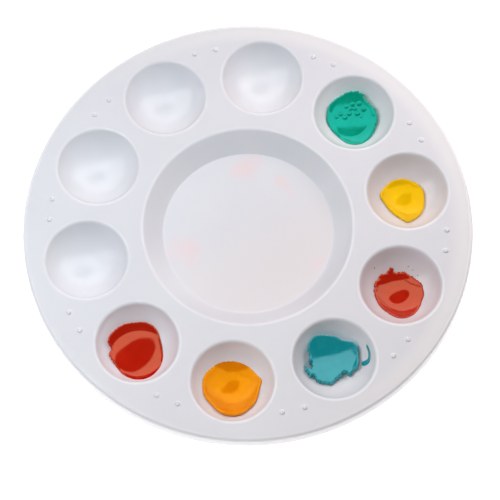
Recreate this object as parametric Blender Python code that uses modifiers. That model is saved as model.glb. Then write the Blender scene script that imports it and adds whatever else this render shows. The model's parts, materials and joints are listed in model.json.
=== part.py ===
"""Round paint mixing palette: one moulded tray with ten wells and a central mixing well.

Six wells hold a pool of wet paint, and each pool is a solid of its own. Nothing moves.

Frame: metres, +Z up. The origin is the centre of the resting plane, straight under the
middle of the tray. The tray stands on the flat feet under its ten wells.
"""

import math

import bmesh
import bpy
from mathutils import Matrix, Vector

MM = 0.001

# Tray, overall.
TRAY_RADIUS = 85.0 * MM
TRAY_HEIGHT = 11.0 * MM
WALL = 1.3 * MM

# Rim: a soft shoulder, then a short skirt that flares out to the full radius.
SHOULDER_START_RADIUS = 81.0 * MM
SHOULDER_END_RADIUS = 84.0 * MM
SHOULDER_DROP = 2.0 * MM
SKIRT_DROP = 3.9 * MM
SKIRT_EDGE_WIDTH = 1.2 * MM

# Central mixing well: flat floor, straight sloping wall, rounded brink.
MIXING_RIM_RADIUS = 39.7 * MM
MIXING_FLOOR_RADIUS = 32.3 * MM
MIXING_DEPTH = 7.0 * MM
MIXING_BRINK = 2.5 * MM

# Ring of paint wells: spherical bowls with rounded brinks.
WELL_COUNT = 10
WELL_RING_RADIUS = 61.8 * MM
WELL_RIM_RADIUS = 15.45 * MM
WELL_DEPTH = TRAY_HEIGHT - WALL
WELL_BRINK = 1.2 * MM
FIRST_WELL_ANGLE = math.radians(18)
WELL_STEP = 2 * math.pi / WELL_COUNT
FOOT_RADIUS = 4.0 * MM
FOOT_EDGE_RADIUS = 4.2 * MM

# Brush-rest pips: a pair of low domes on the rim between each two wells.
PIP_RING_RADIUS = 74.6 * MM
PIP_HALF_ANGLE = math.radians(3.2)
PIP_RADIUS = 1.0 * MM
PIP_HEIGHT = 0.5 * MM
PIP_SINK = 0.4 * MM

# Paint pools: a lens that follows the bowl, trimmed to each pool's own outline.
PAINT_GAP = 0.3 * MM
PAINT_CENTRE_THICKNESS = 2.0 * MM
PAINT_EDGE_THICKNESS = 0.5 * MM
PAINT_LENS_RADIUS = 14.0 * MM

# Facets.
TRAY_STEPS = 72
WELL_STEPS = 24
PIP_STEPS = 6
LENS_STEPS = 20
OUTLINE_STEPS = 2

# Helper overlap, so that a cutter or a joined shape passes through a face and never lies on it.
PASS_THROUGH = 1.0 * MM

# Heights that follow from the sizes above.
MIXING_FLOOR_Z = TRAY_HEIGHT - MIXING_DEPTH
BOWL_RADIUS = (WELL_RIM_RADIUS**2 + WELL_DEPTH**2) / (2 * WELL_DEPTH)
BOWL_CENTRE_Z = TRAY_HEIGHT - WELL_DEPTH + BOWL_RADIUS

# Paint pools by name: well number (counted anticlockwise), colour slot and outline.
# Outline points are millimetres from the well's centre, joined by a smooth curve.
POOLS = {
    "paint_yellow": {
        "well": 0,
        "slot": "yellow_paint",
        "outline": [
            (-10, -1), (-9.6, 1.6), (-7, 5.5), (-2.2, 7.8), (3.4, 6.6), (6.5, 3.2),
            (7, -2.3), (5.7, -6.8), (1.2, -10.8), (-4.6, -7), (-8.1, -3.2),
        ],
    },
    "paint_green": {
        "well": 1,
        "slot": "green_paint",
        "outline": [
            (-10.4, 0.5), (-9.5, 5), (-6, 8.4), (-0.5, 10.7), (3, 9.7), (4.3, 8), (7.4, 5.2),
            (9.4, 1.3), (8.7, -4), (6.5, -8.3), (2.5, -11), (-2, -10.4), (-7.9, -5.5),
        ],
    },
    "paint_red_left": {
        "well": 6,
        "slot": "red_paint",
        "outline": [
            (-11, 1.5), (-8.5, 6.5), (-4.5, 9.3), (1.5, 10.2), (5.5, 8.3), (8, 4), (9.6, -3),
            (8.5, -8), (5, -12.2), (0.5, -13), (-4, -11.3), (-8.5, -6.5), (-10.4, -2.5),
        ],
    },
    "paint_orange": {
        "well": 7,
        "slot": "orange_paint",
        "outline": [
            (-11, 1.5), (-9.3, 5.3), (-6.5, 8), (-2, 9.7), (3, 9.1), (7, 6.6), (10.2, 3),
            (9.8, -1.5), (8.7, -6), (5.5, -10), (1, -11.9), (-3.5, -11), (-7.5, -7.8),
            (-10.3, -4.2),
        ],
    },
    "paint_teal": {
        "well": 8,
        "slot": "teal_paint",
        "outline": [
            (-9.4, 2), (-10, 5.7), (-7.9, 9), (-3.3, 10), (2, 9.1), (6.2, 8.5), (8.7, 6),
            (9.2, 1.2), (7.8, -2), (4.3, -3), (1, -6.3), (-1.5, -8.1), (-5.5, -7.4),
            (-9.8, -4), (-9.6, -1),
        ],
    },
    "paint_teal_streak": {
        "well": 8,
        "slot": "teal_paint",
        "outline": [
            (11.4, 7.3), (12.8, 5), (13.2, 2.5), (12.6, 0.6), (10.8, 0), (11.8, 1.6),
            (12.1, 3.6), (12, 5.4),
        ],
    },
    "paint_red_right": {
        "well": 9,
        "slot": "red_paint",
        "outline": [
            (-9.6, 2.4), (-7.5, 6), (-4, 8.4), (1, 8.1), (5.5, 5.8), (8.4, 2.1), (9, -0.6),
            (8, -4.8), (5.6, -9.2), (1, -11.3), (-4.9, -8.6), (-8.5, -4.5), (-9.5, -1),
        ],
    },
}

# Slot: red, green, blue as seen (sRGB), and roughness.
FINISHES = {
    "tray_plastic": ((0.89, 0.90, 0.93), 0.32),
    "yellow_paint": ((0.99, 0.80, 0.06), 0.12),
    "green_paint": ((0.10, 0.68, 0.56), 0.12),
    "red_paint": ((0.76, 0.14, 0.06), 0.12),
    "orange_paint": ((0.97, 0.61, 0.07), 0.12),
    "teal_paint": ((0.14, 0.60, 0.64), 0.12),
}


def clear_scene():
    for obj in list(bpy.data.objects):
        bpy.data.objects.remove(obj, do_unlink=True)


def new_collection(name):
    collection = bpy.data.collections.new(name)
    bpy.context.scene.collection.children.link(collection)
    return collection


def linear(channel):
    """An sRGB channel as the linear value that a material takes."""
    if channel <= 0.04045:
        return channel / 12.92
    return ((channel + 0.055) / 1.055) ** 2.4


def finish_material(slot):
    colour, roughness = FINISHES[slot]
    material = bpy.data.materials.get(slot) or bpy.data.materials.new(slot)
    material.use_nodes = True
    shader = material.node_tree.nodes["Principled BSDF"]
    shader.inputs["Base Color"].default_value = [linear(c) for c in colour] + [1.0]
    shader.inputs["Roughness"].default_value = roughness
    shader.inputs["Metallic"].default_value = 0.0
    return material


def arc(centre_x, centre_z, radius, start_deg, end_deg, steps):
    """Points along an arc in the profile plane, both ends included."""
    points = []
    for i in range(steps + 1):
        angle = math.radians(start_deg + (end_deg - start_deg) * i / steps)
        points.append((centre_x + radius * math.cos(angle), centre_z + radius * math.sin(angle)))
    return points


def turned_mesh(name, profile, steps):
    """The mesh made by turning a profile, which starts and ends on the Z axis, all the way round."""
    count = len(profile)
    line = bpy.data.meshes.new(name + "_profile")
    line.from_pydata([(x, 0, z) for x, z in profile], [(i, i + 1) for i in range(count - 1)], [])
    obj = bpy.data.objects.new(name + "_profile", line)
    bpy.context.scene.collection.objects.link(obj)
    screw = obj.modifiers.new("Turn", "SCREW")
    screw.angle = 2 * math.pi
    screw.steps = steps
    screw.render_steps = steps
    screw.use_merge_vertices = True
    screw.merge_threshold = 1e-6
    bpy.context.view_layer.update()
    turned = obj.evaluated_get(bpy.context.evaluated_depsgraph_get())
    mesh = bpy.data.meshes.new_from_object(turned)
    mesh.name = name
    bpy.data.objects.remove(obj, do_unlink=True)
    bpy.data.meshes.remove(line)
    tidy_faces(mesh)
    return mesh


def tidy_faces(mesh):
    """Welds loose seams and turns every face outwards."""
    work = bmesh.new()
    work.from_mesh(mesh)
    bmesh.ops.remove_doubles(work, verts=work.verts, dist=1e-6)
    bmesh.ops.recalc_face_normals(work, faces=work.faces)
    work.to_mesh(mesh)
    work.free()


def copies(name, mesh, places):
    """One mesh that holds a separate copy of the given one at each place."""
    work = bmesh.new()
    for place in places:
        start = len(work.verts)
        work.from_mesh(mesh)
        work.verts.ensure_lookup_table()
        bmesh.ops.transform(work, matrix=place, verts=work.verts[start:])
    joined = bpy.data.meshes.new(name)
    work.to_mesh(joined)
    work.free()
    return joined


def helper(name, mesh, collection):
    """A cutter or a shape to be joined on: seen in the viewport as wire, and left out of the model."""
    obj = bpy.data.objects.new(name, mesh)
    obj.display_type = "WIRE"
    obj.hide_render = True
    collection.objects.link(obj)
    return obj


def boolean(obj, operation, other):
    modifier = obj.modifiers.new(operation.title() + " " + other.name, "BOOLEAN")
    modifier.operation = operation
    modifier.solver = "EXACT"
    modifier.object = other


def well_angle(number):
    return FIRST_WELL_ANGLE + number * WELL_STEP


def well_place(number):
    """Moves a shape modelled on the Z axis to a well's centre."""
    angle = well_angle(number)
    return Matrix.Translation(
        (WELL_RING_RADIUS * math.cos(angle), WELL_RING_RADIUS * math.sin(angle), 0)
    )


def turned_well_place(number):
    """As well_place, but also turned so that every well meets the tray's facets alike."""
    return well_place(number) @ Matrix.Rotation(well_angle(number), 4, "Z")


def bowl_z(radius_from_axis, bowl_radius):
    """Height of a spherical bowl of the given radius about the wells' common centre height."""
    return BOWL_CENTRE_Z - math.sqrt(bowl_radius**2 - radius_from_axis**2)


def rim_outside():
    """The shoulder and skirt, from the flat top down to the skirt's foot."""
    half_width = SHOULDER_END_RADIUS - SHOULDER_START_RADIUS
    shoulder = []
    for x, z in arc(0, 0, 1, 90, 10, 4):
        shoulder.append(
            (
                SHOULDER_START_RADIUS + half_width * x,
                TRAY_HEIGHT - SHOULDER_DROP * (1 - z),
            )
        )
    return shoulder + [
        (SHOULDER_END_RADIUS, TRAY_HEIGHT - SHOULDER_DROP),
        (TRAY_RADIUS, TRAY_HEIGHT - SKIRT_DROP),
    ]


def tray_profile():
    """Closed section of the tray without its ring of wells: top face outwards, then underside back."""
    slope = math.atan2(MIXING_DEPTH, MIXING_RIM_RADIUS - MIXING_FLOOR_RADIUS)
    tangent = MIXING_BRINK * math.tan(slope / 2)
    brink = arc(
        MIXING_RIM_RADIUS + tangent,
        TRAY_HEIGHT - MIXING_BRINK,
        MIXING_BRINK,
        90 + math.degrees(slope),
        90,
        3,
    )
    top = [(0, MIXING_FLOOR_Z), (MIXING_FLOOR_RADIUS, MIXING_FLOOR_Z)] + brink + rim_outside()
    wall_shift = WALL * math.tan(slope / 2)
    underside = [
        (TRAY_RADIUS - SKIRT_EDGE_WIDTH, TRAY_HEIGHT - SKIRT_DROP),
        (SHOULDER_END_RADIUS - WALL, TRAY_HEIGHT - SHOULDER_DROP - WALL / 2),
        (SHOULDER_START_RADIUS, TRAY_HEIGHT - WALL),
        (MIXING_RIM_RADIUS + wall_shift, TRAY_HEIGHT - WALL),
        (MIXING_FLOOR_RADIUS + wall_shift, MIXING_FLOOR_Z - WALL),
        (0, MIXING_FLOOR_Z - WALL),
    ]
    return top + underside


def bowl_shell_profile():
    """Solid outside of one well: flat foot, bowl, and a top that ends inside the tray's plate."""
    outer_radius = BOWL_RADIUS + WALL
    plate_middle = TRAY_HEIGHT - WALL / 2
    top_angle = math.degrees(math.asin((plate_middle - BOWL_CENTRE_Z) / outer_radius))
    foot_angle = -math.degrees(math.acos(FOOT_EDGE_RADIUS / outer_radius))
    bowl = arc(0, BOWL_CENTRE_Z, outer_radius, top_angle, foot_angle, 4)
    return [(0, plate_middle)] + bowl + [(FOOT_RADIUS, 0), (0, 0)]


def bowl_hollow_profile():
    """The well's hollow, brink included, standing proud of the top so that it cuts right through."""
    brink_centre_z = TRAY_HEIGHT - WELL_BRINK
    height = BOWL_CENTRE_Z - brink_centre_z
    brink_centre_x = math.sqrt((BOWL_RADIUS + WELL_BRINK) ** 2 - height**2)
    meeting_angle = math.degrees(math.atan2(height, -brink_centre_x))
    brink = arc(brink_centre_x, brink_centre_z, WELL_BRINK, 90, meeting_angle, 3)
    start_angle = meeting_angle - 180
    bowl = arc(0, BOWL_CENTRE_Z, BOWL_RADIUS, start_angle, -90, 6)
    proud_z = TRAY_HEIGHT + PASS_THROUGH
    well_bottom = (0, TRAY_HEIGHT - WELL_DEPTH)
    return [(0, proud_z), (brink_centre_x, proud_z)] + brink + bowl[1:-1] + [well_bottom]


def pip_profile():
    """A low dome whose base sinks into the plate."""
    dome = [
        (PIP_RADIUS * x, TRAY_HEIGHT + PIP_HEIGHT * z) for x, z in arc(0, 0, 1, 90, 0, 2)
    ]
    return [(0, dome[0][1])] + dome[1:] + [
        (PIP_RADIUS, TRAY_HEIGHT - PIP_SINK),
        (0, TRAY_HEIGHT - PIP_SINK),
    ]


def pip_places():
    places = []
    for number in range(WELL_COUNT):
        middle = well_angle(number) + WELL_STEP / 2
        for side in (-1, 1):
            angle = middle + side * PIP_HALF_ANGLE
            places.append(
                Matrix.Rotation(angle, 4, "Z") @ Matrix.Translation((PIP_RING_RADIUS, 0, 0))
            )
    return places


def make_tray(parts, cutters):
    wells = [turned_well_place(number) for number in range(WELL_COUNT)]
    shell_mesh = turned_mesh("bowl_shell", bowl_shell_profile(), WELL_STEPS)
    hollow_mesh = turned_mesh("bowl_hollow", bowl_hollow_profile(), WELL_STEPS)
    pip_mesh = turned_mesh("pip", pip_profile(), PIP_STEPS)
    shells = helper("bowl_shells", copies("bowl_shells", shell_mesh, wells), cutters)
    hollows = helper("bowl_hollows", copies("bowl_hollows", hollow_mesh, wells), cutters)
    pips = helper("brush_rest_pips", copies("brush_rest_pips", pip_mesh, pip_places()), cutters)

    mesh = turned_mesh("tray", tray_profile(), TRAY_STEPS)
    mesh.materials.append(finish_material("tray_plastic"))
    tray = bpy.data.objects.new("tray", mesh)
    parts.objects.link(tray)
    boolean(tray, "UNION", shells)
    boolean(tray, "DIFFERENCE", hollows)
    boolean(tray, "UNION", pips)
    shade_round(mesh)
    return tray


def shade_round(mesh):
    mesh.shade_smooth()
    mesh.set_sharp_from_angle(angle=math.radians(35))


def lens_profile():
    """Section of the paint's full dish: concave wet top, underside a gap clear of the bowl."""
    under_radius = BOWL_RADIUS - PAINT_GAP
    under = []
    top = []
    steps = 3
    for i in range(steps + 1):
        x = PAINT_LENS_RADIUS * i / steps
        z = bowl_z(x, under_radius)
        share = 1 - (x / PAINT_LENS_RADIUS) ** 2
        spare = PAINT_CENTRE_THICKNESS - PAINT_EDGE_THICKNESS
        under.append((x, z))
        top.append((x, z + PAINT_EDGE_THICKNESS + spare * share))
    return top + under[::-1]


def outline_prism(name, outline):
    """A smooth closed outline, filled and extruded right through the paint's height, as a mesh."""
    curve = bpy.data.curves.new(name + "_outline", "CURVE")
    curve.dimensions = "2D"
    curve.fill_mode = "BOTH"
    curve.resolution_u = OUTLINE_STEPS
    curve.extrude = TRAY_HEIGHT
    spline = curve.splines.new("BEZIER")
    spline.bezier_points.add(len(outline) - 1)
    spline.use_cyclic_u = True
    for point, (x, y) in zip(spline.bezier_points, outline):
        point.co = Vector((x * MM, y * MM, 0))
        point.handle_left_type = "AUTO"
        point.handle_right_type = "AUTO"
    obj = bpy.data.objects.new(name + "_outline", curve)
    bpy.context.scene.collection.objects.link(obj)
    bpy.context.view_layer.update()
    evaluated = obj.evaluated_get(bpy.context.evaluated_depsgraph_get())
    mesh = bpy.data.meshes.new_from_object(evaluated)
    mesh.name = name
    bpy.data.objects.remove(obj, do_unlink=True)
    bpy.data.curves.remove(curve)
    tidy_faces(mesh)
    return mesh


def make_pool(name, pool, lens_mesh, parts, cutters):
    place = well_place(pool["well"])
    lens = helper(name + "_lens", lens_mesh, cutters)
    lens.matrix_world = place
    mesh = outline_prism(name, pool["outline"])
    mesh.materials.append(finish_material(pool["slot"]))
    obj = bpy.data.objects.new(name, mesh)
    parts.objects.link(obj)
    obj.matrix_world = place
    boolean(obj, "INTERSECT", lens)
    shade_round(mesh)


def main():
    clear_scene()
    parts = new_collection("mixing_palette")
    cutters = new_collection("cutters")
    make_tray(parts, cutters)
    lens_mesh = turned_mesh("paint_lens", lens_profile(), LENS_STEPS)
    for name, pool in POOLS.items():
        make_pool(name, pool, lens_mesh, parts, cutters)


main()
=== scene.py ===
"""Looks of the round mixing palette: a satin moulded tray with pools of wet paint in its wells.

Meshes are worked out in millimetres and stand in the scene in metres.
"""

import json
import math

import bmesh
import bpy
import numpy as np
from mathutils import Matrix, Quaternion, Vector, geometry, noise


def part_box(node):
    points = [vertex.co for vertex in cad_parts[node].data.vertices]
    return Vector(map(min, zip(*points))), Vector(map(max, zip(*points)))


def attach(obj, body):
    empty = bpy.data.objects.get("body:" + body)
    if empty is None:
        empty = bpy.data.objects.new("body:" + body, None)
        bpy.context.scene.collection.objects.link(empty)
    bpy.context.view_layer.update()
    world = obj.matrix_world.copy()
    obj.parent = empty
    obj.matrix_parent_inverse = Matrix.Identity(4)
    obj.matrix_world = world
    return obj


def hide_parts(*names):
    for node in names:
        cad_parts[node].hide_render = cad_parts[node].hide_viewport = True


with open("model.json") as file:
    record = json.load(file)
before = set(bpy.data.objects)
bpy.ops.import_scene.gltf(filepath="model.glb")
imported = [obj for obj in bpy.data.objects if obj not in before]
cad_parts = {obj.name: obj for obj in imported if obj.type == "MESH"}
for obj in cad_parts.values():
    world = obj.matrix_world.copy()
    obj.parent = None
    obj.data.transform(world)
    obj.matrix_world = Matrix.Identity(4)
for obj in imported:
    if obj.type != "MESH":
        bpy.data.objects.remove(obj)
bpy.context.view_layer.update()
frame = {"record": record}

MM = 0.001
WELD = 0.002 * MM
TRIANGLES_INSIDE = 1

# Heights and radii of the tray, in millimetres. The box and the well places come from the frame.
PIP_HEIGHT = 0.5
TRAY_LOW, TRAY_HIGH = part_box("tray")
RADIUS = (TRAY_HIGH.x - TRAY_LOW.x) / 2 / MM
TOP = TRAY_HIGH.z / MM - PIP_HEIGHT
WALL = 1.3
MIXING_RIM = 39.7
MIXING_FLOOR = 32.3
FLOOR_Z = TOP - 7.0
FLOOR_FILLET = 0.35
MIXING_BRINK = 2.5
MIXING_SLOPE = math.atan2(TOP - FLOOR_Z, MIXING_RIM - MIXING_FLOOR)
WELL_COUNT = 10
WELL_RIM = 15.45
BOWL_BOTTOM = WALL
BOWL = (WELL_RIM**2 + (TOP - BOWL_BOTTOM) ** 2) / (2 * (TOP - BOWL_BOTTOM))
BOWL_CENTRE = BOWL_BOTTOM + BOWL
WELL_BRINK = 1.8
UNDER_FILLET = 1.0
FOOT = 4.0
SHOULDER_START = RADIUS - 2.1
UNDER_PLATE_RADIUS = RADIUS - 5.0
SKIRT_FOOT = TOP - 3.9
PIP_RING = 74.6
PIP_HALF_ANGLE = math.radians(3.2)
PIP_BASE = 1.35

# Facets round each feature.
RIM_STEPS = 288
MIXING_STEPS = 240
WELL_STEPS = 96
UNDER_WELL_STEPS = 72
PIP_STEPS = 20


# ---------------------------------------------------------------- outlines and profiles


def arc(centre_r, centre_z, radius, start_deg, end_deg, steps):
    """Points (radius, z) along an arc, both ends included."""
    angles = np.radians(np.linspace(start_deg, end_deg, steps + 1))
    return [(centre_r + radius * math.cos(a), centre_z + radius * math.sin(a)) for a in angles]


def rounded_path(corners, step_deg=9):
    """A path through (radius, z, fillet) corners, with each inner corner turned into an arc."""
    path = [corners[0][:2]]
    for before, corner, after in zip(corners, corners[1:], corners[2:]):
        here = Vector(corner[:2])
        back = (Vector(before[:2]) - here).normalized()
        ahead = (Vector(after[:2]) - here).normalized()
        turn = math.pi - back.angle(ahead)
        if corner[2] == 0 or turn < 0.01:
            path.append(tuple(here))
            continue
        reach = corner[2] * math.tan(turn / 2)
        centre = here + (back + ahead).normalized() * corner[2] / math.cos(turn / 2)
        first = here + back * reach - centre
        last = here + ahead * reach - centre
        steps = max(2, math.ceil(math.degrees(turn) / step_deg))
        for i in range(steps + 1):
            share = i / steps
            spoke = (first * math.sin((1 - share) * turn) + last * math.sin(share * turn)) / math.sin(turn)
            path.append(tuple(centre + spoke))
    path.append(corners[-1][:2])
    return path


def circle(centre, radius, steps):
    """A closed loop of points (x, y)."""
    angles = np.arange(steps) * 2 * math.pi / steps
    return np.column_stack((centre[0] + radius * np.cos(angles), centre[1] + radius * np.sin(angles)))


def smooth_loop(corners, spacing):
    """Points about a spacing apart on the smooth closed curve through the corners."""
    points = np.array(corners, float)
    count = len(points)
    curve = []
    for i in range(count):
        p0, p1, p2, p3 = points[i - 1], points[i], points[(i + 1) % count], points[(i + 2) % count]
        steps = max(1, math.ceil(np.linalg.norm(p2 - p1) / spacing))
        t = (np.arange(steps) / steps)[:, None]
        curve.append(
            0.5 * (2 * p1 + (p2 - p0) * t + (2 * p0 - 5 * p1 + 4 * p2 - p3) * t**2)
            + 0.5 * (3 * p1 - p0 - 3 * p2 + p3) * t**3
        )
    return np.concatenate(curve)


def loop_normals(loop):
    """Outward unit normals of an anticlockwise or clockwise loop."""
    along = np.roll(loop, -1, 0) - np.roll(loop, 1, 0)
    across = np.column_stack((along[:, 1], -along[:, 0]))
    across /= np.linalg.norm(across, axis=1)[:, None] + 1e-9
    ahead = np.roll(loop, -1, 0)
    area = np.sum(loop[:, 0] * ahead[:, 1] - ahead[:, 0] * loop[:, 1])
    return across * np.sign(area)


def smooth_noise(points, size, seed):
    """Noise between about -1 and 1 at each point (x, y), for features of about the given size."""
    return np.array([noise.noise(Vector((x / size, y / size, seed))) for x, y in points])


def ragged(loop, amount, towards_deg, seed):
    """Pushes a loop in and out by fine noise, most strongly on the side that faces one direction."""
    towards = np.array((math.cos(math.radians(towards_deg)), math.sin(math.radians(towards_deg))))
    facing = loop @ towards / (np.linalg.norm(loop, axis=1) + 1e-9)
    share = 0.15 + 0.85 * np.clip(facing + 0.3, 0, 1)
    push = 0.45 * smooth_noise(loop, 1.5, seed) + 0.55 * smooth_noise(loop, 0.55, seed + 5)
    return loop + loop_normals(loop) * (push * amount * share)[:, None]


def distance_to_loop(points, loop):
    """The shortest distance from each point to the closed line through a loop."""
    best = np.full(len(points), np.inf)
    for start, end in zip(loop, np.roll(loop, -1, 0)):
        along = end - start
        share = np.clip((points - start) @ along / max(along @ along, 1e-12), 0, 1)
        gap = points - start - share[:, None] * along
        best = np.minimum(best, np.hypot(gap[:, 0], gap[:, 1]))
    return best


def inside_loop(points, loop):
    """True for each point that lies inside a closed loop."""
    inside = np.zeros(len(points), bool)
    x, y = points[:, 0], points[:, 1]
    for (x1, y1), (x2, y2) in zip(loop, np.roll(loop, -1, 0)):
        if y1 == y2:
            continue
        crosses = (y1 > y) != (y2 > y)
        inside ^= crosses & (x < (x2 - x1) * (y - y1) / (y2 - y1) + x1)
    return inside


def grid_points(half_width, spacing):
    """A triangular grid of points over a square."""
    rows = int(half_width / (spacing * 0.866))
    columns = int(half_width / spacing) + 1
    points = []
    for row in range(-rows, rows + 1):
        for column in range(-columns, columns + 1):
            points.append(((column + 0.5 * (row % 2)) * spacing, row * spacing * 0.866))
    return np.array(points)


def triangles_between(loops, free):
    """Points and triangles of the area inside the first loop and outside the others."""
    points, edges = [], []
    for loop in loops:
        start = len(points)
        points += [Vector(p) for p in loop]
        edges += [(start + i, start + (i + 1) % len(loop)) for i in range(len(loop))]
    points += [Vector(p) for p in free]
    made = geometry.delaunay_2d_cdt(points, edges, [], TRIANGLES_INSIDE, 1e-5)
    corners = np.array([tuple(p) for p in made[0]])
    faces = np.array([tuple(face) for face in made[2]])
    middles = corners[faces].mean(1)
    for hole in loops[1:]:
        keep = ~inside_loop(middles, hole)
        faces, middles = faces[keep], middles[keep]
    return corners, [tuple(face) for face in faces.tolist()]


# ---------------------------------------------------------------- surfaces and meshes


class Surface:
    """Points in millimetres and faces, gathered from patches that are welded at the end."""

    def __init__(self):
        self.points = []
        self.faces = []

    def add(self, points, faces):
        start = len(self.points)
        self.points += [tuple(p) for p in points]
        self.faces += [tuple(start + i for i in face) for face in faces]

    def add_turned(self, profile, steps, centre=(0, 0)):
        """A profile (radius, z) turned about a vertical axis. It may start or end on the axis."""
        rings = []
        for radius, z in profile:
            start = len(self.points)
            if radius < 1e-6:
                self.points.append((centre[0], centre[1], z))
                rings.append([start] * steps)
            else:
                self.points += [(x, y, z) for x, y in circle(centre, radius, steps)]
                rings.append(list(range(start, start + steps)))
        for low, high in zip(rings, rings[1:]):
            for i in range(steps):
                j = (i + 1) % steps
                face = dict.fromkeys((low[i], low[j], high[j], high[i]))
                self.faces.append(tuple(face))

    def add_flat(self, loops, free, z):
        points, faces = triangles_between(loops, free)
        self.add(np.column_stack((points, np.full(len(points), z))), faces)


def welded_mesh(name, surface, shape=None):
    """One closed mesh in metres, with its faces turned outwards."""
    points = np.array(surface.points)
    if shape is not None:
        points = shape(points)
    mesh = bpy.data.meshes.new(name)
    mesh.from_pydata((points * MM).tolist(), [], surface.faces)
    work = bmesh.new()
    work.from_mesh(mesh)
    bmesh.ops.remove_doubles(work, verts=work.verts, dist=WELD)
    bmesh.ops.dissolve_degenerate(work, edges=work.edges, dist=WELD / 2)
    loose = [v for v in work.verts if not v.link_faces]
    bmesh.ops.delete(work, geom=loose, context="VERTS")
    bmesh.ops.recalc_face_normals(work, faces=work.faces)
    unclosed = sum(not edge.is_manifold for edge in work.edges)
    print(name, len(work.verts), "points,", len(work.faces), "faces,", unclosed, "open edges")
    work.to_mesh(mesh)
    work.free()
    mesh.shade_smooth()
    return mesh


def new_piece(name, mesh, material, node=None):
    """A piece of the palette, in place and riding on the part's only body."""
    piece = bpy.data.objects.new(name, mesh)
    bpy.context.scene.collection.objects.link(piece)
    mesh.materials.append(material)
    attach(piece, "root")
    if node is not None:
        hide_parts(node)
    return piece


# ---------------------------------------------------------------- the tray


def well_centres():
    """The middle of each well, in millimetres, from the openings in the record."""
    boxes = {o["name"]: o["box_m"] for o in frame["record"]["physics"]["openings"]}
    centres = []
    for number in range(WELL_COUNT):
        low, high = boxes[f"paint_well_{number}"]
        centres.append(((low[0] + high[0]) / 2 / MM, (low[1] + high[1]) / 2 / MM))
    return centres


WELLS = well_centres()


def pip_centres():
    """A pair of pips on the rim between each two wells."""
    centres = []
    for x, y in WELLS:
        middle = math.atan2(y, x) + math.pi / WELL_COUNT
        for side in (-1, 1):
            angle = middle + side * PIP_HALF_ANGLE
            centres.append((PIP_RING * math.cos(angle), PIP_RING * math.sin(angle)))
    return centres


def bowl_z(distance, radius):
    """Height of a spherical bowl about the wells' common centre height."""
    return BOWL_CENTRE - np.sqrt(np.maximum(radius**2 - np.asarray(distance) ** 2, 0.01))


def mixing_top_profile():
    """From the flat floor of the mixing well, up its wall and over the rounded brink."""
    half = math.tan(MIXING_SLOPE / 2)
    slope = math.degrees(MIXING_SLOPE)
    corner = arc(MIXING_FLOOR - FLOOR_FILLET * half, FLOOR_Z + FLOOR_FILLET, FLOOR_FILLET, -90, slope - 90, 4)
    brink = arc(MIXING_RIM + MIXING_BRINK * half, TOP - MIXING_BRINK, MIXING_BRINK, 90 + slope, 90, 8)
    wall = [tuple(np.array(corner[-1]) + (np.array(brink[0]) - corner[-1]) * i / 4) for i in range(1, 4)]
    return corner + wall + brink


def mixing_under_profile():
    """The same wall seen from underneath, one wall thickness away."""
    half = math.tan(MIXING_SLOPE / 2)
    slope = math.degrees(MIXING_SLOPE)
    centre = (MIXING_FLOOR - FLOOR_FILLET * half, FLOOR_Z + FLOOR_FILLET)
    corner = arc(*centre, FLOOR_FILLET + WALL, -90, slope - 90, 6)
    brink = arc(MIXING_RIM + MIXING_BRINK * half, TOP - MIXING_BRINK, MIXING_BRINK - WALL, 90 + slope, 90, 6)
    return corner + brink


def rim_profile():
    """From the flat top, over the shoulder, down the flared skirt and back up underneath."""
    shoulder = [(SHOULDER_START + 1.6 * r, TOP - 1.1 + 1.1 * z) for r, z in arc(0, 0, 1, 90, 30, 12)]
    skirt = [
        (*shoulder[-1], 0),
        (RADIUS - 0.42, TOP - 1.35, 0.9),
        (RADIUS + 0.15, SKIRT_FOOT + 0.15, 0.25),
        (RADIUS - 0.1, SKIRT_FOOT, 0.15),
        (RADIUS - 1.2, SKIRT_FOOT, 0.32),
        (RADIUS - 2.3, TOP - 2.65, 0.9),
        (RADIUS - 4.0, TOP - WALL, 2.0),
        (UNDER_PLATE_RADIUS, TOP - WALL, 0),
    ]
    return shoulder[:-1] + rounded_path(skirt)


def bowl_top_profile():
    """Over a well's brink and down its bowl to the bottom."""
    brink_z = TOP - WELL_BRINK
    height = BOWL_CENTRE - brink_z
    brink_r = math.sqrt((BOWL + WELL_BRINK) ** 2 - height**2)
    meeting = math.degrees(math.atan2(height, -brink_r))
    brink = arc(brink_r, brink_z, WELL_BRINK, 90, meeting, 8)
    bowl = arc(0, BOWL_CENTRE, BOWL, meeting - 180, -90, 22)
    return brink + bowl[1:-1] + [(0, BOWL_BOTTOM)]


def bowl_under_profile():
    """From the underside of the plate, round a fillet and down the outside of the bowl to its foot."""
    outside = BOWL + WALL
    fillet_z = TOP - WALL - UNDER_FILLET
    height = BOWL_CENTRE - fillet_z
    fillet_r = math.sqrt((outside + UNDER_FILLET) ** 2 - height**2)
    meeting = math.degrees(math.atan2(height, -fillet_r))
    fillet = arc(fillet_r, fillet_z, UNDER_FILLET, 90, meeting, 6)
    edge = math.degrees(math.asin((FOOT + 0.2) / outside)) - 90
    bowl = arc(0, BOWL_CENTRE, outside, meeting - 180, edge, 14)
    foot = rounded_path([(*bowl[-2], 0), (*bowl[-1], 0.3), (FOOT, 0, 0.2), (0, 0, 0)])
    return fillet + bowl[1:-2] + foot[:-1] + [(FOOT / 2, 0), (0, 0)]


def gate_mark_profile():
    """The small nub that the mould's gate leaves under the middle of the mixing well."""
    under = FLOOR_Z - WALL
    return rounded_path(
        [(5.2, under, 0), (4.2, under, 0.2), (3.8, under + 0.35, 0.2), (1.5, under + 0.35, 0.15),
         (1.2, under - 0.15, 0.15), (0, under - 0.25, 0)]
    )


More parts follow.
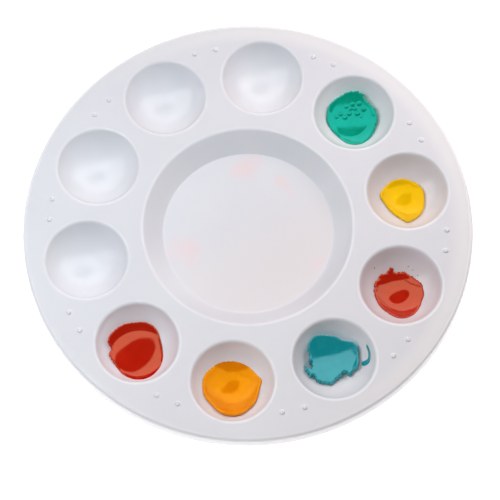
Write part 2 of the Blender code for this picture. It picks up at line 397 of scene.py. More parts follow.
def clear_of(points, circles, gap):
    """The points that lie at least a gap outside every circle (centre, radius)."""
    keep = np.ones(len(points), bool)
    for (x, y), radius in circles:
        keep &= np.hypot(points[:, 0] - x, points[:, 1] - y) > radius + gap
    return points[keep]


def plate_points(outer, holes, spacing):
    """Free points for a flat plate: a sparse grid, and a ring round each hole that keeps shading clean."""
    grid = clear_of(grid_points(outer, spacing), holes, 0.6 * spacing)
    grid = grid[np.hypot(grid[:, 0], grid[:, 1]) < outer - 0.6 * spacing]
    rings = [circle(centre, radius + 0.35, steps) for (centre, radius), steps in holes_with_steps(holes)]
    return np.concatenate([grid] + rings)


def holes_with_steps(holes):
    """Each hole with the number of points its ring gets."""
    return [(hole, max(16, int(hole[1] * 5))) for hole in holes]


def settle(points):
    """The slight, slow unevenness of a moulded sheet. It fades to nothing at the feet."""
    x, y, z = points.T
    wave = np.sin(x / 23 + 0.6) * np.cos(y / 31 - 0.4) + 0.5 * np.sin((x + 1.3 * y) / 17)
    lifted = z + 0.035 * wave * np.clip(z / TOP, 0, 1) ** 2 * (z < TOP + 0.01)
    return np.column_stack((x, y, lifted))


def make_tray(material):
    surface = Surface()
    top = mixing_top_profile()
    under = mixing_under_profile()
    bowl_top = bowl_top_profile()
    bowl_under = bowl_under_profile()
    gate = gate_mark_profile()
    pip = rounded_path(
        [(PIP_BASE, TOP, 0), (0.98, TOP, 0.3), (0.7, TOP + PIP_HEIGHT, 0.42), (0, TOP + PIP_HEIGHT, 0)], 14
    )
    pips = pip_centres()

    surface.add_turned(top, MIXING_STEPS)
    surface.add_turned(under, MIXING_STEPS)
    surface.add_turned(rim_profile(), RIM_STEPS)
    surface.add_turned(gate, 48)
    for centre in WELLS:
        surface.add_turned(bowl_top, WELL_STEPS, centre)
        surface.add_turned(bowl_under, UNDER_WELL_STEPS, centre)
    for centre in pips:
        surface.add_turned(pip, PIP_STEPS, centre)

    holes = [((0, 0), top[-1][0])] + [(c, bowl_top[0][0]) for c in WELLS] + [(c, PIP_BASE) for c in pips]
    steps = [MIXING_STEPS] + [WELL_STEPS] * len(WELLS) + [PIP_STEPS] * len(pips)
    loops = [circle((0, 0), SHOULDER_START, RIM_STEPS)]
    loops += [circle(centre, radius, n) for (centre, radius), n in zip(holes, steps)]
    surface.add_flat(loops, plate_points(SHOULDER_START, holes, 2.2), TOP)

    holes = [((0, 0), under[-1][0])] + [(c, bowl_under[0][0]) for c in WELLS]
    steps = [MIXING_STEPS] + [UNDER_WELL_STEPS] * len(WELLS)
    loops = [circle((0, 0), UNDER_PLATE_RADIUS, RIM_STEPS)]
    loops += [circle(centre, radius, n) for (centre, radius), n in zip(holes, steps)]
    surface.add_flat(loops, plate_points(UNDER_PLATE_RADIUS, holes, 2.6), TOP - WALL)

    floor = circle((0, 0), top[0][0], MIXING_STEPS)
    surface.add_flat([floor], plate_points(top[0][0], [], 2.2), FLOOR_Z)
    floor = circle((0, 0), under[0][0], MIXING_STEPS)
    gate_ring = circle((0, 0), gate[0][0], 48)
    gate_holes = [((0, 0), gate[0][0])]
    surface.add_flat([floor, gate_ring], plate_points(under[0][0], gate_holes, 3.0), FLOOR_Z - WALL)

    mesh = welded_mesh("palette_tray", surface, settle)
    return new_piece("palette_tray", mesh, material, "tray")


# ---------------------------------------------------------------- the paint

SEAT = 0.02
OUTLINE_SPACING = 0.17
WET_GRID = 0.32
SEAT_GRID = 1.6
BEAD_DEPTHS = (0.03, 0.09, 0.18, 0.3, 0.45, 0.65, 0.9)

# Each pool: the well it lies in, its outline in millimetres from the well's centre, the thickness of
# its film and how fast that grows towards x and y, how wide its rounded edge is, how ragged that edge
# is and on which side, and the dishes that its thicker parts settle into: (x, y, depth there, radius x,
# radius y). Film, tilt and dishes were fitted to give the highlights, so the real thickness isn't known.
POOLS = {
    "pool_yellow": {
        "node": "paint_yellow",
        "well": 0,
        "slot": "yellow_paint",
        "film": 1.1,
        "tilt": (0.025, -0.03),
        "bead": 0.7,
        "ragged": (0.25, 200),
        "dishes": [(-1.3, 0.25, 0.85, 13.8, 18.4)],
        "outline": [
            (-10, -0.9), (-9.7, 1.5), (-8.3, 3.9), (-6.6, 5.9), (-4.4, 7.2), (-1.8, 7.9), (0.8, 7.6),
            (3.4, 6.6), (5.3, 5.1), (6.5, 3.1), (6.9, 0.3), (7, -2.4), (6.6, -4.6), (5.5, -7),
            (3.8, -8.9), (2.2, -10.3), (1.1, -10.8), (-0.3, -10), (-2.4, -8.5), (-4.7, -6.9),
            (-6.6, -5.1), (-8.2, -3),
        ],
    },
    "pool_green": {
        "node": "paint_green",
        "well": 1,
        "slot": "green_paint",
        "film": 0.2,
        "tilt": (-0.02, -0.045),
        "bead": 0.75,
        "ragged": (0.8, 60),
        "dishes": [(-2.2, -8.7, 0.15, 77, 38), (-1, -3, 2.05, 17.7, 18.5)],
        "outline": [
            (-10.4, 0.3), (-10.2, 3), (-9.4, 5.2), (-7.6, 7.2), (-5.6, 8.6), (-3.4, 9.8), (-1, 10.7),
            (1.1, 10.7), (2, 10), (3.3, 9.6), (3.5, 8.7), (4.8, 7.6), (6.6, 6.1), (8.1, 4.2),
            (9.2, 1.8), (9.3, -1.4), (8.6, -4.1), (7.4, -7), (5.6, -9.3), (3.1, -10.9), (0.3, -11.2),
            (-2.3, -10.3), (-4.5, -8.6), (-7, -6.4), (-9.2, -3.8), (-10.2, -1.6),
        ],
    },
    "pool_red_left": {
        "node": "paint_red_left",
        "well": 6,
        "slot": "red_paint",
        "film": 0.8,
        "tilt": (-0.085, 0.09),
        "bead": 0.75,
        "ragged": (0.4, 180),
        "dishes": [(1.6, 0.8, 2.45, 33.6, 42.5)],
        "outline": [
            (-11.4, 0.9), (-10.9, 3.2), (-9.6, 5.4), (-8, 7.1), (-6, 8.6), (-3.5, 9.5), (-0.5, 10.1),
            (2, 10.1), (4.6, 9.1), (6.6, 7.2), (7.9, 4.3), (8.9, 1.2), (9.6, -2.6), (9.3, -5.9),
            (8.2, -8.6), (6.2, -11.3), (3.6, -12.8), (0.6, -13.1), (-2.2, -12.4), (-4.8, -10.8),
            (-7, -8.3), (-9.1, -5.8), (-10.4, -3.6), (-9.8, -1.6), (-10.8, -0.1),
        ],
    },
    "pool_orange": {
        "node": "paint_orange",
        "well": 7,
        "slot": "orange_paint",
        "film": 0.8,
        "tilt": (0.02, -0.12),
        "bead": 0.8,
        "ragged": (0.3, 150),
        "dishes": [(6, -5.9, -3.2, 25.6, 82)],
        "outline": [
            (-11.1, 0.4), (-10.9, 2.6), (-9.6, 5), (-7.6, 7.2), (-5, 9), (-2, 9.7), (1, 9.6),
            (3.6, 8.9), (6, 7.5), (8.6, 5.1), (10.4, 3.1), (10, 0.2), (9.5, -3.4), (8.6, -6.2),
            (6.8, -8.5), (4.4, -10.9), (1.3, -11.9), (-1.8, -11.8), (-4.6, -10.4), (-7.2, -8),
            (-9.6, -5.6), (-10.9, -2.5),
        ],
    },
    "pool_teal": {
        "node": "paint_teal",
        "well": 8,
        "slot": "teal_paint",
        "film": 1.35,
        "tilt": (0, -0.06),
        "bead": 0.7,
        "ragged": (0.9, 265),
        "dishes": [(-2.2, 1.3, 0.77, 12.5, 50), (3.9, -8.3, 0.53, 37, 41.6)],
        "outline": [
            (-10.2, 4.3), (-10, 6.3), (-8.6, 8.5), (-6.1, 9.7), (-3, 10), (0, 9.9), (2.6, 8.9),
            (4.7, 8.8), (7, 8.2), (8.5, 6.8), (8.9, 3.6), (9.3, 1.2), (8.8, -1.2), (7.4, -2.3),
            (6.8, -3), (6.1, -3.8), (5.3, -3.2), (4.3, -2.8), (2.6, -4.5), (0.9, -6.5), (-0.6, -8),
            (-2.6, -7.6), (-4.5, -7.9), (-6.2, -6.9), (-7.4, -5.5), (-8, -6.2), (-9.6, -4.4),
            (-10.5, -2.8), (-10.5, -1.4), (-9.3, -2.6), (-8.1, -2.7), (-8.3, -1.4), (-9.3, 0),
            (-9.3, 1.8), (-9.9, 3.2),
        ],
    },
    "streak_teal": {
        "node": "paint_teal_streak",
        "well": 8,
        "slot": "teal_paint",
        "film": 0.45,
        "tilt": (0, 0),
        "bead": 0.45,
        "ragged": (0.3, 180),
        "dishes": [],
        "outline": [
            (11.5, 7.4), (12.4, 5.8), (13, 3.8), (13.1, 2), (12.6, 0.6), (11.4, 0), (10.4, 0.4),
            (10.2, 1.5), (11.2, 1.9), (12.1, 2.3), (12.3, 3.6), (12, 5.2), (11.3, 6.8),
        ],
    },
    "pool_red_right": {
        "node": "paint_red_right",
        "well": 9,
        "slot": "red_paint",
        "film": 0.65,
        "tilt": (-0.01, 0.02),
        "bead": 0.7,
        "ragged": (1.0, 115),
        "dishes": [(1.9, -0.2, 0.5, 28.5, 19.2)],
        "outline": [
            (-9.6, 2.4), (-8.7, 4.1), (-7.4, 6), (-5.6, 7.3), (-4.8, 8.5), (-3.5, 8.8), (-2.8, 8),
            (-0.6, 8), (1.2, 8.2), (2.6, 7.4), (4, 6.7), (5.4, 5.8), (7.4, 4.1), (8.4, 2.1),
            (9, -0.2), (8.6, -2.4), (8, -4.8), (6.9, -7.5), (5.2, -9.6), (3, -10.9), (0.4, -11.3),
            (-2, -10.5), (-4.6, -8.8), (-6.9, -7), (-8.4, -4.7), (-9.3, -2.4), (-9.7, 0.4),
        ],
    },
}

# Dried flecks of red beside the right-hand red pool: (x, y, radius).
RED_FLECKS = [(-10.2, 7.4, 0.2), (2.4, 9.9, 0.2), (4.2, 8.8, 0.15), (6.2, 7, 0.17)]

# Air bubbles in the green paint: (x, y, radius).
BUBBLES = [
    (3.6, 3.9, 1.05), (1.3, 2.1, 1.0), (1.8, 5.7, 0.9), (-0.8, 5.3, 0.85),
    (0.3, 3.8, 0.75), (-1.8, 1.9, 1.0), (-3.3, 0.4, 1.05), (-5.1, 1.4, 0.9),
    (-6.6, 0.2, 0.8), (-3.1, 4.3, 0.75), (-1.2, 3.7, 0.7), (2.9, 0.9, 0.5),
]
BUBBLE_SHARES = (0.3, 0.5, 0.65, 0.78, 0.9, 1, 1.12)


def smooth_max(a, b, blend):
    return 0.5 * (a + b + np.sqrt((a - b) ** 2 + blend**2))


def wet_height(pool, points, depth, seed):
    """Height of a pool's wet top at each point, which is a given depth inside the pool's edge."""
    distance = np.hypot(points[:, 0], points[:, 1])
    seat = bowl_z(distance, BOWL - SEAT)
    level = bowl_z(distance, BOWL - pool["film"]) + points @ pool["tilt"]
    for x, y, thick, radius_x, radius_y in pool["dishes"]:
        dish = bowl_z(math.hypot(x, y), BOWL) + thick + (points[:, 0] - x) ** 2 / (2 * radius_x)
        level = smooth_max(level, dish + (points[:, 1] - y) ** 2 / (2 * radius_y), 0.12)
    level = np.maximum(level + 0.015 * smooth_noise(points, 3.5, seed), seat + 0.05)
    share = np.sqrt(1 - (1 - np.clip(depth / pool["bead"], 0, 1)) ** 2)
    return seat + (level - seat) * share


def bubble_height(points):
    """Extra height of the air bubbles: domes that are flat on top and steep at the edge."""
    extra = np.zeros(len(points))
    for x, y, radius in BUBBLES:
        away = np.hypot(points[:, 0] - x, points[:, 1] - y) / radius
        extra = np.maximum(extra, 0.32 * radius * (1 - np.minimum(away, 1) ** 4))
    return extra


def bubble_points():
    rings = [circle((x, y), radius * share, 20) for x, y, radius in BUBBLES for share in BUBBLE_SHARES]
    return np.concatenate([np.array([(x, y) for x, y, _ in BUBBLES])] + rings)


def free_points(outline, grid, margin):
    """Grid points inside an outline, at least a margin from its edge."""
    inside = grid[inside_loop(grid, outline)]
    return inside[distance_to_loop(inside, outline) > margin]


def bead_points(outline, bead):
    """Points a little inside the outline, closer together where the rounded edge curves most."""
    inward = -loop_normals(outline)
    found = []
    for depth in BEAD_DEPTHS:
        points = outline + inward * depth * bead
        points = points[inside_loop(points, outline)]
        found.append(points[distance_to_loop(points, outline) > 0.85 * depth * bead])
    return np.concatenate(found)


def make_pool(name, pool, material, seed):
    """A closed pool of paint that lies in its well."""
    outline = ragged(smooth_loop(pool["outline"], OUTLINE_SPACING), *pool["ragged"], seed)
    centre = np.array(WELLS[pool["well"]])
    grid = grid_points(18, WET_GRID)
    free = np.concatenate((free_points(outline, grid, pool["bead"]), bead_points(outline, pool["bead"])))
    bubbly = pool["node"] == "paint_green"
    if bubbly:
        free = np.concatenate((free, bubble_points()))
    points, faces = triangles_between([outline], free)
    depth = distance_to_loop(points, outline)
    depth[depth < 1e-4] = 0
    heights = wet_height(pool, points, depth, seed)
    if bubbly:
        heights += bubble_height(points) * (depth > 0)
    surface = Surface()
    surface.add(np.column_stack((points + centre, heights)), faces)
    points, faces = triangles_between([outline], free_points(outline, grid_points(18, SEAT_GRID), 0.5))
    seat = bowl_z(np.hypot(points[:, 0], points[:, 1]), BOWL - SEAT)
    surface.add(np.column_stack((points + centre, seat)), [face[::-1] for face in faces])
    mesh = welded_mesh(name, surface)
    return new_piece(name, mesh, material, pool["node"])


def make_fleck(number, x, y, radius, material):
    """A dried fleck of paint on the wall of a well: a small uneven dome."""
    outline = circle((x, y), radius, 18)
    outline += 0.35 * radius * smooth_noise(outline, 0.4, number)[:, None] * (outline - (x, y)) / radius
    free = np.concatenate([circle((x, y), radius * share, 12) for share in (0.25, 0.55, 0.8)])
    points, faces = triangles_between([outline], free[inside_loop(free, outline)])
    depth = distance_to_loop(points, outline)
    depth[depth < 1e-4] = 0
    seat = bowl_z(np.hypot(points[:, 0], points[:, 1]), BOWL - SEAT)
    centre = np.array(WELLS[9])
    surface = Surface()
    surface.add(np.column_stack((points + centre, seat + 0.5 * np.sqrt(depth * radius))), faces)
    surface.add(np.column_stack((points + centre, seat)), [face[::-1] for face in faces])
    name = f"red_fleck_{number}"
    return new_piece(name, welded_mesh(name, surface), material)


# ---------------------------------------------------------------- materials


class Nodes:
    """Adds shader nodes to one tree. Inputs are plain values or other nodes' outputs."""

    def __init__(self, tree):
        self.tree = tree
        tree.nodes.clear()

    def add(self, kind, inputs=None, **settings):
        node = self.tree.nodes.new(kind)
        for name, value in settings.items():
            setattr(node, name, value)
        for name, value in (inputs or {}).items():
            if isinstance(value, bpy.types.NodeSocket):
                self.tree.links.new(value, node.inputs[name])
            else:
                node.inputs[name].default_value = value
        return node

    def math(self, operation, a, b=0.0, c=0.0, clamp=False):
        return self.add("ShaderNodeMath", {0: a, 1: b, 2: c}, operation=operation, use_clamp=clamp).outputs[0]

    def dot(self, vector, axis):
        node = self.add("ShaderNodeVectorMath", {0: vector, 1: axis}, operation="DOT_PRODUCT")
        return node.outputs["Value"]

    def distance(self, a, b):
        return self.add("ShaderNodeVectorMath", {0: a, 1: b}, operation="DISTANCE").outputs["Value"]

    def band(self, value, start, full, fade, end):
        """0 outside start and end, 1 from full to fade, and smooth between them."""
        return self.math("MULTIPLY", self.rise(value, start, full), self.rise(value, end, fade))

    def rise(self, value, start, end):
        """0 up to start, 1 from end on, and smooth between them."""
        settings = {"Value": value, "From Min": start, "From Max": end}
        return self.add("ShaderNodeMapRange", settings, interpolation_type="SMOOTHSTEP").outputs[0]

    def noise(self, vector, scale, detail=3.0, roughness=0.5):
        settings = {"Vector": vector, "Scale": scale, "Detail": detail, "Roughness": roughness}
        return self.add("ShaderNodeTexNoise", settings).outputs["Fac"]

    def between(self, share, low, high):
        """A number that goes from low to high as share goes from 0 to 1."""
        return self.math("MULTIPLY_ADD", share, high - low, low)

    def mix(self, share, a, b):
        """A colour between two colours."""
        node = self.add("ShaderNodeMix", {0: share, 6: a, 7: b}, data_type="RGBA")
        return node.outputs[2]

    def bump(self, height, distance, normal=None):
        inputs = {"Height": height, "Distance": distance, "Strength": 1.0}
        if normal is not None:
            inputs["Normal"] = normal
        return self.add("ShaderNodeBump", inputs).outputs["Normal"]


def new_material(name):
    material = bpy.data.materials.new(name)
    material.use_nodes = True
    return material, Nodes(material.node_tree)


def finish(nodes, **inputs):
    """The surface shader, with names such as base_color for its inputs."""
    named = {name.replace("_", " ").title(): value for name, value in inputs.items()}
    if "Ior" in named:
        named["IOR"] = named.pop("Ior")
    if "Specular Ior Level" in named:
        named["Specular IOR Level"] = named.pop("Specular Ior Level")
    shader = nodes.add("ShaderNodeBsdfPrincipled", named)
    nodes.add("ShaderNodeOutputMaterial", {"Surface": shader.outputs[0]})


# Wells whose thin walls are painted darker and warmer, and by how much: painted shade that stands in for what
# shows through the plastic there, so it stays the same under any light.
SHADED_WELLS = {0: 0.7, 7: 0.3, 8: 0.4, 9: 1.0}


def well_shade_share(n, place, z):
    """How strong the painted shade is at each place: faint and uneven, on the walls of the shaded wells."""
    flat = n.add("ShaderNodeVectorMath", {0: place, 1: (1, 1, 0)}, operation="MULTIPLY").outputs[0]
    share = 0.0
    for well, strength in SHADED_WELLS.items():
        centre = [c * MM for c in WELLS[well]]
        away = n.distance(flat, (*centre, 0))
        near = n.math("MULTIPLY", n.rise(away, (WELL_RIM + 0.5) * MM, (WELL_RIM - 1.5) * MM), strength)
        share = n.math("MAXIMUM", share, near)
    below = n.rise(z, (TOP - 0.1) * MM, (TOP - 1.4) * MM)
    uneven = n.between(n.rise(n.noise(place, 90.0, 3.0, 0.5), 0.3, 0.7), 0.75, 1.0)
    return n.math("MULTIPLY", n.math("MULTIPLY", share, below), uneven)


# Faint pink spots on the floor of the mixing well, taken to be washes of old red: (x, y, radius).
PINK_SPOTS = [(-22.6, -9.3, 9), (-3.6, 26.7, 8), (12, 21, 5), (27, -10, 4)]


def pink_spot_share(n, place):
    """Soft, uneven masks for the faint pink spots."""
    drift = n.add("ShaderNodeTexNoise", {"Vector": place, "Scale": 130.0, "Detail": 2.0}).outputs["Color"]
    drift = n.add("ShaderNodeVectorMath", {0: drift, 1: (0.5, 0.5, 0.5)}, operation="SUBTRACT").outputs[0]
    scaled = n.add("ShaderNodeVectorMath", {0: drift, 1: (0.012, 0.012, 0)}, operation="MULTIPLY").outputs[0]
    moved = n.add("ShaderNodeVectorMath", {0: place, 1: scaled}, operation="ADD").outputs[0]
    share = 0.0
    for x, y, radius in PINK_SPOTS:
        spot = (x * MM, y * MM, FLOOR_Z * MM)
        away = n.distance(moved, spot)
        share = n.math("MAXIMUM", share, n.rise(away, radius * MM, 0.1 * radius * MM))
    return share


# Tones of the plastic: its own three, and those painted on parts of it in place of light through thin walls.
COOL_WHITE = (0.79, 0.79, 0.83, 1)
PALE_WHITE = (0.815, 0.815, 0.85, 1)
FLOW_TONE = (0.78, 0.783, 0.825, 1)
RIM_LIGHT_TONE = (0.875, 0.865, 0.88, 1)
NEAR_WALL_SHADE_TONE = (0.68, 0.665, 0.70, 1)
WARM_FLOOR_LIGHT_TONE = (0.82, 0.785, 0.80, 1)
PINK_SPOT_TONE = (0.86, 0.755, 0.775, 1)
WELL_SHADE_TONE = (0.715, 0.66, 0.68, 1)

# Where the painted tones lie: bands of radius in metres, and the side of the tray that each one faces.
RIM_LIGHT_BAND = (0.075, 0.081, 0.083, 0.0845)
NEAR_WALL_SHADE_BAND = (0.0318, 0.034, 0.0385, 0.0405)
RIM_LIGHT_SIDE = (9.8, 6.9, 0)
NEAR_WALL_SHADE_SIDE = (11, -24, 0)
WARM_LIGHT_SIDE = (18, -24, 0)


def plastic_material():
    """Off-white moulded plastic: faint flow marks, a fine satin grain and some painted light and shade."""
    material, n = new_material("moulded_plastic")
    place = n.add("ShaderNodeTexCoord").outputs["Object"]
    parts = n.add("ShaderNodeSeparateXYZ", {0: place})
    x, y, z = parts.outputs
    radius = n.math("SQRT", n.math("ADD", n.math("MULTIPLY", x, x), n.math("MULTIPLY", y, y)))
    safe = n.math("MAXIMUM", radius, 0.001)
    flow_place = n.add(
        "ShaderNodeCombineXYZ",
        {0: n.math("DIVIDE", x, safe), 1: n.math("DIVIDE", y, safe), 2: n.math("MULTIPLY", radius, 9.0)},
    ).outputs[0]
    flow = n.noise(flow_place, 2.5, 2.0, 0.5)
    cloud = n.noise(place, 28.0, 4.0, 0.55)
    grain = n.noise(place, 1500.0, 2.0, 0.6)
    colour = n.mix(n.rise(cloud, 0.3, 0.7), COOL_WHITE, PALE_WHITE)
    colour = n.mix(n.math("MULTIPLY", n.rise(flow, 0.35, 0.75), 0.25), colour, FLOW_TONE)
    geometry_normal = n.add("ShaderNodeNewGeometry").outputs["Normal"]
    upper = n.rise(n.add("ShaderNodeSeparateXYZ", {0: geometry_normal}).outputs["Z"], -0.1, 0.1)
    # Painted light: a lighter band round the outer rim, on one side of the tray.
    rim = n.math("MULTIPLY", n.band(radius, *RIM_LIGHT_BAND), n.rise(n.dot(place, RIM_LIGHT_SIDE), -0.4, 0.5))
    colour = n.mix(rim, colour, RIM_LIGHT_TONE)
    # Painted shade: the upward faces of the mixing well's near wall are darker on one side.
    near_side = n.rise(n.dot(place, NEAR_WALL_SHADE_SIDE), 0.2, 0.9)
    near_wall_shade = n.math("MULTIPLY", n.band(radius, *NEAR_WALL_SHADE_BAND), near_side)
    colour = n.mix(n.math("MULTIPLY", near_wall_shade, upper), colour, NEAR_WALL_SHADE_TONE)
    in_floor = n.math("MULTIPLY", n.rise(radius, 0.0325, 0.0315), n.rise(z, 0.0048, 0.0042))
    in_floor = n.math("MULTIPLY", in_floor, upper)
    # Painted light: a warm cast over one side of the mixing well's floor.
    warm = n.math("MULTIPLY", n.rise(n.dot(place, WARM_LIGHT_SIDE), -0.5, 0.6), in_floor)
    colour = n.mix(warm, colour, WARM_FLOOR_LIGHT_TONE)
    # Faint pink spots on the floor of the mixing well.
    colour = n.mix(n.math("MULTIPLY", pink_spot_share(n, place), in_floor), colour, PINK_SPOT_TONE)
    # Painted shade: darker, warmer walls in the shaded wells.
    colour = n.mix(n.math("MULTIPLY", well_shade_share(n, place, z), upper), colour, WELL_SHADE_TONE)
    rough = n.between(n.rise(flow, 0.3, 0.7), 0.20, 0.24)
    rough = n.math("ADD", rough, n.math("MULTIPLY", n.math("SUBTRACT", grain, 0.5), 0.05))
    normal = n.bump(grain, 0.003 * MM)
    normal = n.bump(cloud, 0.08 * MM, normal)
    finish(
        n,
        base_color=colour,
        roughness=rough,
        ior=1.49,
        specular_ior_level=0.7,
        normal=normal,
        subsurface_weight=0.12,
        subsurface_radius=(1.0, 0.95, 0.9),
        subsurface_scale=1.2 * MM,
    )
    return material


# Each paint: its colour in depth, its colour where it is thin, the tint of its wet sheen, and how
# blurred that sheen is.
PAINTS = {
    "yellow_paint": ((0.85, 0.48, 0.001), (0.90, 0.53, 0.003), (1.0, 0.62, 0.02), 0.10),
    "green_paint": ((0.001, 0.29, 0.175), (0.003, 0.34, 0.22), (0.06, 1.0, 0.95), 0.10),
    "red_paint": ((0.48, 0.007, 0.0005), (0.53, 0.012, 0.002), (1.0, 0.50, 0.28), 0.06),
    "orange_paint": ((0.85, 0.235, 0.0005), (0.90, 0.28, 0.002), (1.0, 0.62, 0.02), 0.16),
    "teal_paint": ((0.003, 0.27, 0.31), (0.008, 0.31, 0.35), (0.42, 0.92, 1.0), 0.09),
}


def dried_material():
    """Dried red paint: nearly black, and rougher than the wet pools."""
    material, n = new_material("dried_red_paint")
    place = n.add("ShaderNodeTexCoord").outputs["Object"]
    crust = n.noise(place, 3000.0, 3.0, 0.6)
    colour = n.mix(crust, (0.035, 0.004, 0.004, 1), (0.09, 0.006, 0.004, 1))
    finish(n, base_color=colour, roughness=n.between(crust, 0.45, 0.65), normal=n.bump(crust, 0.02 * MM))
    return material


def paint_material(slot):
    """Wet paint: pigment that isn't quite even, under a glossy skin that ripples slightly."""
    deep, thin, sheen, blur = PAINTS[slot]
    material, n = new_material("wet_" + slot)
    place = n.add("ShaderNodeTexCoord").outputs["Object"]
    swirl = n.noise(place, 160.0, 4.0, 0.6)
    speckle = n.noise(place, 1400.0, 2.0, 0.5)
    colour = n.mix(n.rise(swirl, 0.35, 0.7), (*deep, 1), (*thin, 1))
    colour = n.mix(n.math("MULTIPLY", n.rise(speckle, 0.6, 0.8), 0.15), colour, (*[c * 0.8 for c in deep], 1))
    rough = n.between(n.rise(swirl, 0.3, 0.8), blur * 0.8, blur * 1.25)
    normal = n.bump(swirl, 0.03 * MM)
    finish(
        n,
        base_color=colour,
        roughness=rough,
        ior=1.9,
        specular_tint=(*sheen, 1),
        normal=normal,
    )
    return material


# ---------------------------------------------------------------- floor, light and camera

# Where the camera stands as seen from the tray, and the axis that it looks back along.
CAMERA_AZIMUTH = math.radians(-83.03)
CAMERA_ELEVATION = math.radians(67.5)
AXIS_AZIMUTH = math.radians(-83.13)
AXIS_ELEVATION = math.radians(68.2)
CAMERA_ROLL = math.radians(-1.873)
CAMERA_DISTANCE = 790.3 * MM
CAMERA_AIM = Vector((1.75, -10.06, TOP)) * MM
LENS = 152.4


def direction(azimuth, elevation):
    flat = math.cos(elevation)
    return Vector((flat * math.cos(azimuth), flat * math.sin(azimuth), math.sin(elevation)))


def make_camera():
    camera = bpy.data.cameras.new("camera")
    camera.lens = LENS
    camera.sensor_width = 36.0
    camera.clip_start = 0.05
    camera.clip_end = 20.0
    obj = bpy.data.objects.new("camera", camera)
    bpy.context.scene.collection.objects.link(obj)
    back = direction(AXIS_AZIMUTH, AXIS_ELEVATION)
    obj.location = CAMERA_AIM + back * CAMERA_DISTANCE
    obj.rotation_mode = "QUATERNION"
    obj.rotation_quaternion = back.to_track_quat("Z", "Y") @ Quaternion((0, 0, 1), CAMERA_ROLL)
    bpy.context.scene.camera = obj


# The floor glows, which fills the shade under the rim. The camera sees a weaker glow than the tray gets.
FLOOR_GLOW = 1.12
FLOOR_GLOW_SEEN = 0.7


def make_floor():
    mesh = bpy.data.meshes.new("floor")
    half = 3.0
    corners = [(-half, -half, 0), (half, -half, 0), (half, half, 0), (-half, half, 0)]
    mesh.from_pydata(corners, [], [(0, 1, 2, 3)])
    floor = bpy.data.objects.new("floor", mesh)
    bpy.context.scene.collection.objects.link(floor)
    material, n = new_material("pale_floor")
    place = n.add("ShaderNodeTexCoord").outputs["Object"]
    tone = n.noise(place, 6.0)
    colour = n.mix(tone, (0.93, 0.93, 0.93, 1), (0.95, 0.95, 0.95, 1))
    seen = n.add("ShaderNodeLightPath").outputs["Is Camera Ray"]
    glow = n.between(seen, FLOOR_GLOW, FLOOR_GLOW_SEEN)
    finish(n, base_color=colour, roughness=0.8, emission_color=(1, 1, 1, 1), emission_strength=glow)
    mesh.materials.append(material)


# Brightness of the panel and of the room round it, for reflections. Its matt light is weaker, and warm.
PANEL_SHEEN = 2.0
ROOM_SHEEN = 0.1
PANEL_GLOW = (0.74, 0.59, 0.53)

# Soft square lamps that reflections don't show: place, width, watts and colour. All four were fitted.
LAMPS = {
    "left_lamp": ((-0.12, 0, 0.22), 0.12, 0.27, (0.82, 1.0, 1.09)),
    "far_right_lamp": ((0.21, 0.21, 0.33), 0.16, 0.25, (0.9, 1.0, 1.04)),
    "right_lamp": ((0.145, 0.145, 0.145), 0.12, 0.16, (1.06, 0.99, 1.02)),
    "near_lamp": ((0, -0.205, 0.145), 0.12, 0.08, (1.0, 1.0, 0.97)),
}


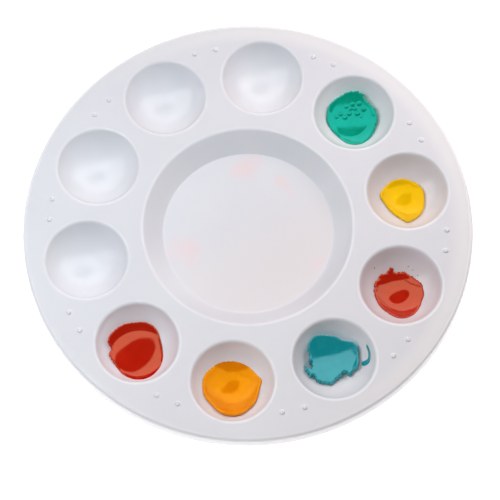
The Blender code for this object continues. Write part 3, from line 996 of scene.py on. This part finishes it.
def light_the_room():
    """A bright overhead panel in a dimmer room, set out round the mirror image of the camera's direction.

    The panel's outline, oval and bars were fitted together with the paint's surfaces, to give the wet
    paint its highlights from the scene's own camera. They aren't known features of a real room.
    """
    world = bpy.data.worlds.new("studio")
    bpy.context.scene.world = world
    world.use_nodes = True
    n = Nodes(world.node_tree)
    towards = direction(CAMERA_AZIMUTH, CAMERA_ELEVATION)
    mirror = Vector((-towards.x, -towards.y, towards.z))
    side = Vector((-towards.y, towards.x, 0)).normalized()
    up = side.cross(mirror)
    look = n.add("ShaderNodeTexCoord").outputs["Generated"]
    reach = n.math("MAXIMUM", n.math("ADD", n.dot(look, mirror), 1.0), 0.05)
    a = n.math("DIVIDE", n.math("MULTIPLY", n.dot(look, side), -1.0), reach)
    b = n.math("DIVIDE", n.dot(look, up), reach)

    def line_side(x1, y1, x2, y2):
        """How far (a, b) lies to the left of the line from the first point to the second."""
        length = math.hypot(x2 - x1, y2 - y1)
        nx, ny = -(y2 - y1) / length, (x2 - x1) / length
        return n.math("MULTIPLY_ADD", a, nx, n.math("MULTIPLY_ADD", b, ny, -(nx * x1 + ny * y1)))

    def turned(cos_part, sin_part):
        return n.math("MULTIPLY_ADD", a, cos_part, n.math("MULTIPLY", b, sin_part))

    # The panel's far edge is a wide arc, its near edges are straight, and a thin bar divides off its near
    # left.
    da = n.math("SUBTRACT", a, 0.23)
    db = n.math("ADD", b, 1.0)
    far = n.math("SQRT", n.math("ADD", n.math("MULTIPLY", da, da), n.math("MULTIPLY", db, db)))
    panel = n.rise(far, 1.37, 1.35)
    for edge in ((0.075, -0.56, 0.39, -0.33), (0.48, -0.44, 0.70, 0.02)):
        panel = n.math("MULTIPLY", panel, n.rise(line_side(*edge), -0.01, 0.01))
    bar = line_side(-0.52, -0.24, -0.026, -0.53)
    panel = n.math("MULTIPLY", panel, n.rise(bar, -0.30, -0.26))
    panel = n.math("MULTIPLY", panel, n.rise(a, -0.62, -0.56))

    # A dark oval in the middle and two thin bars.
    tilt = math.radians(33)
    u = n.math("DIVIDE", n.math("ADD", turned(math.cos(tilt), math.sin(tilt)), 0.064), 0.222)
    v = n.math("DIVIDE", n.math("ADD", turned(-math.sin(tilt), math.cos(tilt)), 0.017), 0.134)
    from_oval = n.math("SQRT", n.math("ADD", n.math("MULTIPLY", u, u), n.math("MULTIPLY", v, v)))
    oval = n.rise(from_oval, 0.93, 1.07)
    upper = n.math("ABSOLUTE", line_side(0.07, 0.365, 0.46, 0.06))
    upper = n.math("MAXIMUM", n.rise(upper, 0.008, 0.018), n.rise(a, 0.11, 0.07))
    lower = n.math("MAXIMUM", n.rise(n.math("ABSOLUTE", bar), 0.010, 0.018), n.rise(a, -0.02, 0.02))
    clear = n.math("MULTIPLY", n.math("MULTIPLY", oval, upper), lower)

    lit = n.math("MULTIPLY", panel, clear)
    rays = n.add("ShaderNodeLightPath").outputs
    matt = n.mix(lit, (0, 0, 0, 1), (*PANEL_GLOW, 1))
    sheen = n.mix(lit, (*[ROOM_SHEEN] * 3, 1), (*[PANEL_SHEEN] * 3, 1))
    colour = n.mix(rays["Is Glossy Ray"], matt, sheen)
    colour = n.mix(rays["Is Camera Ray"], colour, (1, 1, 1, 1))
    shade = n.add("ShaderNodeBackground", {"Color": colour, "Strength": 1.0})
    n.add("ShaderNodeOutputWorld", {"Surface": shade.outputs[0]})


def add_lamp(name, place, width, watts, colour):
    lamp = bpy.data.lights.new(name, "AREA")
    lamp.size = width
    lamp.energy = watts
    lamp.color = colour
    obj = bpy.data.objects.new(name, lamp)
    bpy.context.scene.collection.objects.link(obj)
    obj.location = place
    obj.rotation_mode = "QUATERNION"
    obj.rotation_quaternion = (Vector(place) - Vector((0, 0, TOP * MM))).to_track_quat("Z", "Y")
    obj.visible_camera = False
    obj.visible_glossy = False


def main():
    make_tray(plastic_material())
    paints = {slot: paint_material(slot) for slot in PAINTS}
    for seed, (name, pool) in enumerate(POOLS.items()):
        make_pool(name, pool, paints[pool["slot"]], seed * 3.7)
    dried = dried_material()
    for number, fleck in enumerate(RED_FLECKS):
        make_fleck(number, *fleck, dried)
    make_floor()
    light_the_room()
    for name, lamp in LAMPS.items():
        add_lamp(name, *lamp)
    make_camera()
    bpy.context.scene.view_settings.view_transform = "Standard"


main()
